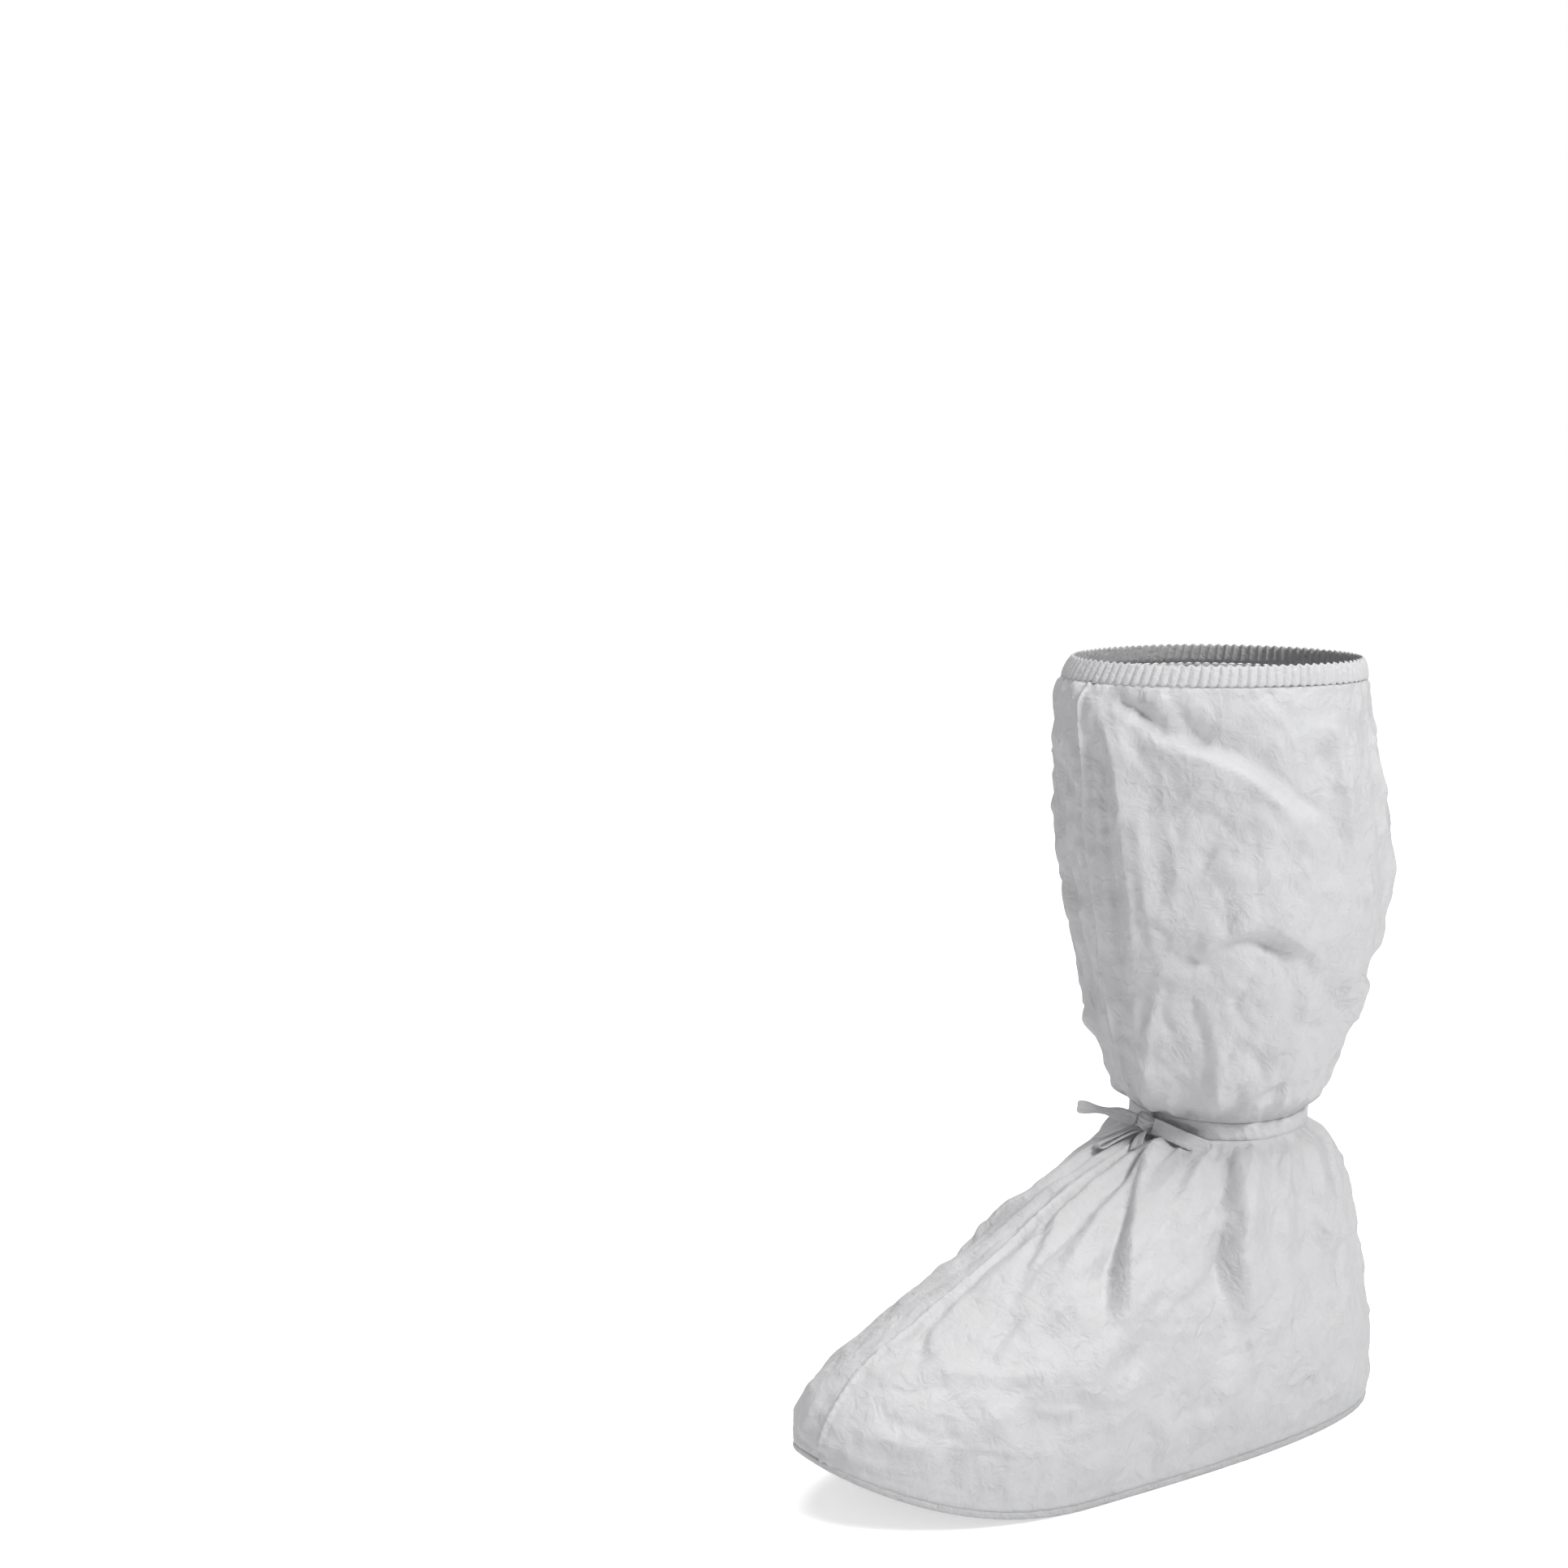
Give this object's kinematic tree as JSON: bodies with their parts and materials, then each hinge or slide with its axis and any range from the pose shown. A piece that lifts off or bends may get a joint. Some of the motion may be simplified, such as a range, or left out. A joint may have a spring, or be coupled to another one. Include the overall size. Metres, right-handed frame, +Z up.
{
  "type": "boot cover",
  "caption": "Tall white cloth cover worn over a shoe and lower leg, with a flat sole, a gathered elastic top and a tape tied in a bow round the ankle.",
  "frame": {"origin": "on the foot bed, the inner face of the sole, under the ankle, where the sole of the foot rests", "axes": "+Z up along the leg, the toe points to -Y, and +X is the wearer's left"},
  "size_m": [0.1645, 0.3478, 0.396],
  "materials": {
    "panel_cloth": "matt spun-bonded cloth",
    "sole_cloth": "matt coated cloth",
    "casing_cloth": "matt ruffled cloth",
    "tape": "matt tape"
  },
  "bodies": {
    "root": {"left_panel": "panel_cloth", "right_panel": "panel_cloth", "sole": "sole_cloth", "top_casing": "casing_cloth", "ankle_tie": "tape", "tie_knot": "tape", "side_loop": "tape", "hanging_loop": "tape", "flat_end": "tape", "short_end": "tape"}
  },
  "joints": []
}
